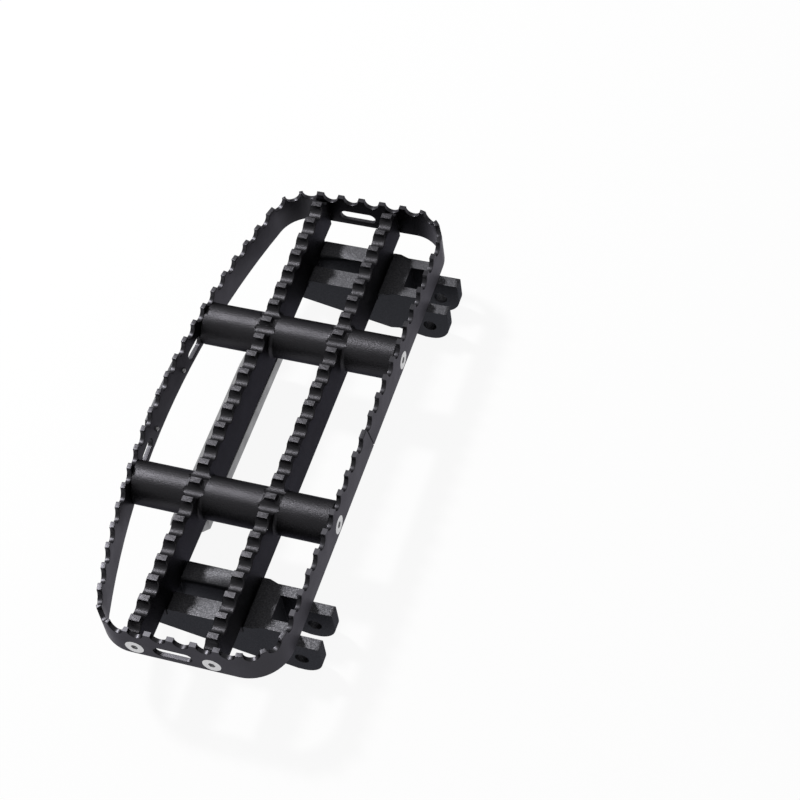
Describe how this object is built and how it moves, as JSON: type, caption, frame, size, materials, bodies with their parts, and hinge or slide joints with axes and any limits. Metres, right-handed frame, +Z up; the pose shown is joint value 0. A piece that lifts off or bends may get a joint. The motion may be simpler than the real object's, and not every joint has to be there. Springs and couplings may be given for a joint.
{
  "type": "motorcycle floorboard",
  "caption": "Skeleton footboard for the left side: toothed band and toothed rails on cross tubes, with clevis brackets to fold on the machine and a skid pad below.",
  "frame": {"origin": "middle of the bounding box at ground level, under the point midway between the two cross tubes", "axes": "+X towards the machine (the pivot ears), +Y towards the front wheel, +Z up out of the toothed deck"},
  "size_m": [0.1465, 0.34, 0.066],
  "materials": {
    "band_black": "black anodised, satin",
    "deck_black": "black anodised casting, satin",
    "bracket_black": "black fine-textured coating on a casting",
    "bare_cast": "bare cast metal, matt",
    "badge_metal": "satin black plate with a bright rim",
    "plated_steel": "bright plated"
  },
  "bodies": {
    "root": {"perimeter_band": "band_black", "deck_casting": "deck_black", "front_bracket": "bracket_black", "rear_bracket": "bracket_black", "skid_pad": "bare_cast", "badge_plate": "badge_metal", "end_screw_front_outboard": "plated_steel", "end_screw_front_inboard": "plated_steel", "end_screw_rear_outboard": "plated_steel", "end_screw_rear_inboard": "plated_steel", "side_screw_front_inboard": "plated_steel", "side_screw_front_outboard": "plated_steel", "side_screw_rear_inboard": "plated_steel", "side_screw_rear_outboard": "plated_steel", "bracket_screw_front_bar_a_outboard": "plated_steel", "bracket_screw_front_bar_a_inboard": "plated_steel", "bracket_screw_front_bar_b_outboard": "plated_steel", "bracket_screw_front_bar_b_inboard": "plated_steel", "bracket_screw_rear_bar_a_outboard": "plated_steel", "bracket_screw_rear_bar_a_inboard": "plated_steel", "bracket_screw_rear_bar_b_outboard": "plated_steel", "bracket_screw_rear_bar_b_inboard": "plated_steel", "skid_screw_front": "plated_steel", "skid_screw_rear": "plated_steel", "badge_pin_front": "plated_steel", "badge_pin_rear": "plated_steel"}
  },
  "joints": []
}
